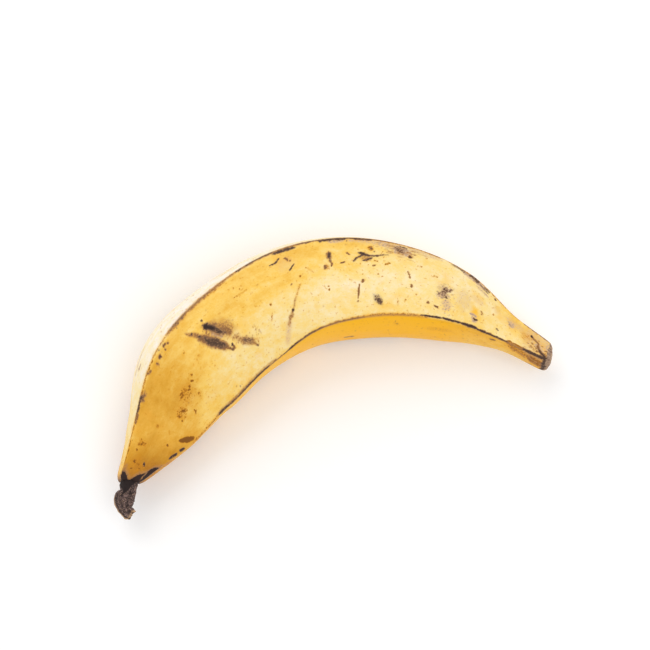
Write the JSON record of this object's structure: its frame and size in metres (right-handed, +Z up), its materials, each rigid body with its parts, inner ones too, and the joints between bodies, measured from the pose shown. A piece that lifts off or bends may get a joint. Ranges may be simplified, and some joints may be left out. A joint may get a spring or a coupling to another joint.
{
  "type": "plantain",
  "caption": "Curved ripe plantain lying on its side, with a cut stem end at one tip and a dried blossom remnant at the other.",
  "frame": {"origin": "middle of the footprint, on the surface that the fruit lies on", "axes": "+X along the chord from the blossom tip to the cut stem end, +Y towards the outside of the bend, +Z up"},
  "size_m": [0.2152, 0.096, 0.0474],
  "materials": {
    "peel": "satin ripe yellow peel with brown and grey rub marks, black along the ridges and grey-brown at both ends"
  },
  "bodies": {
    "root": {"plantain": "peel"}
  },
  "joints": []
}
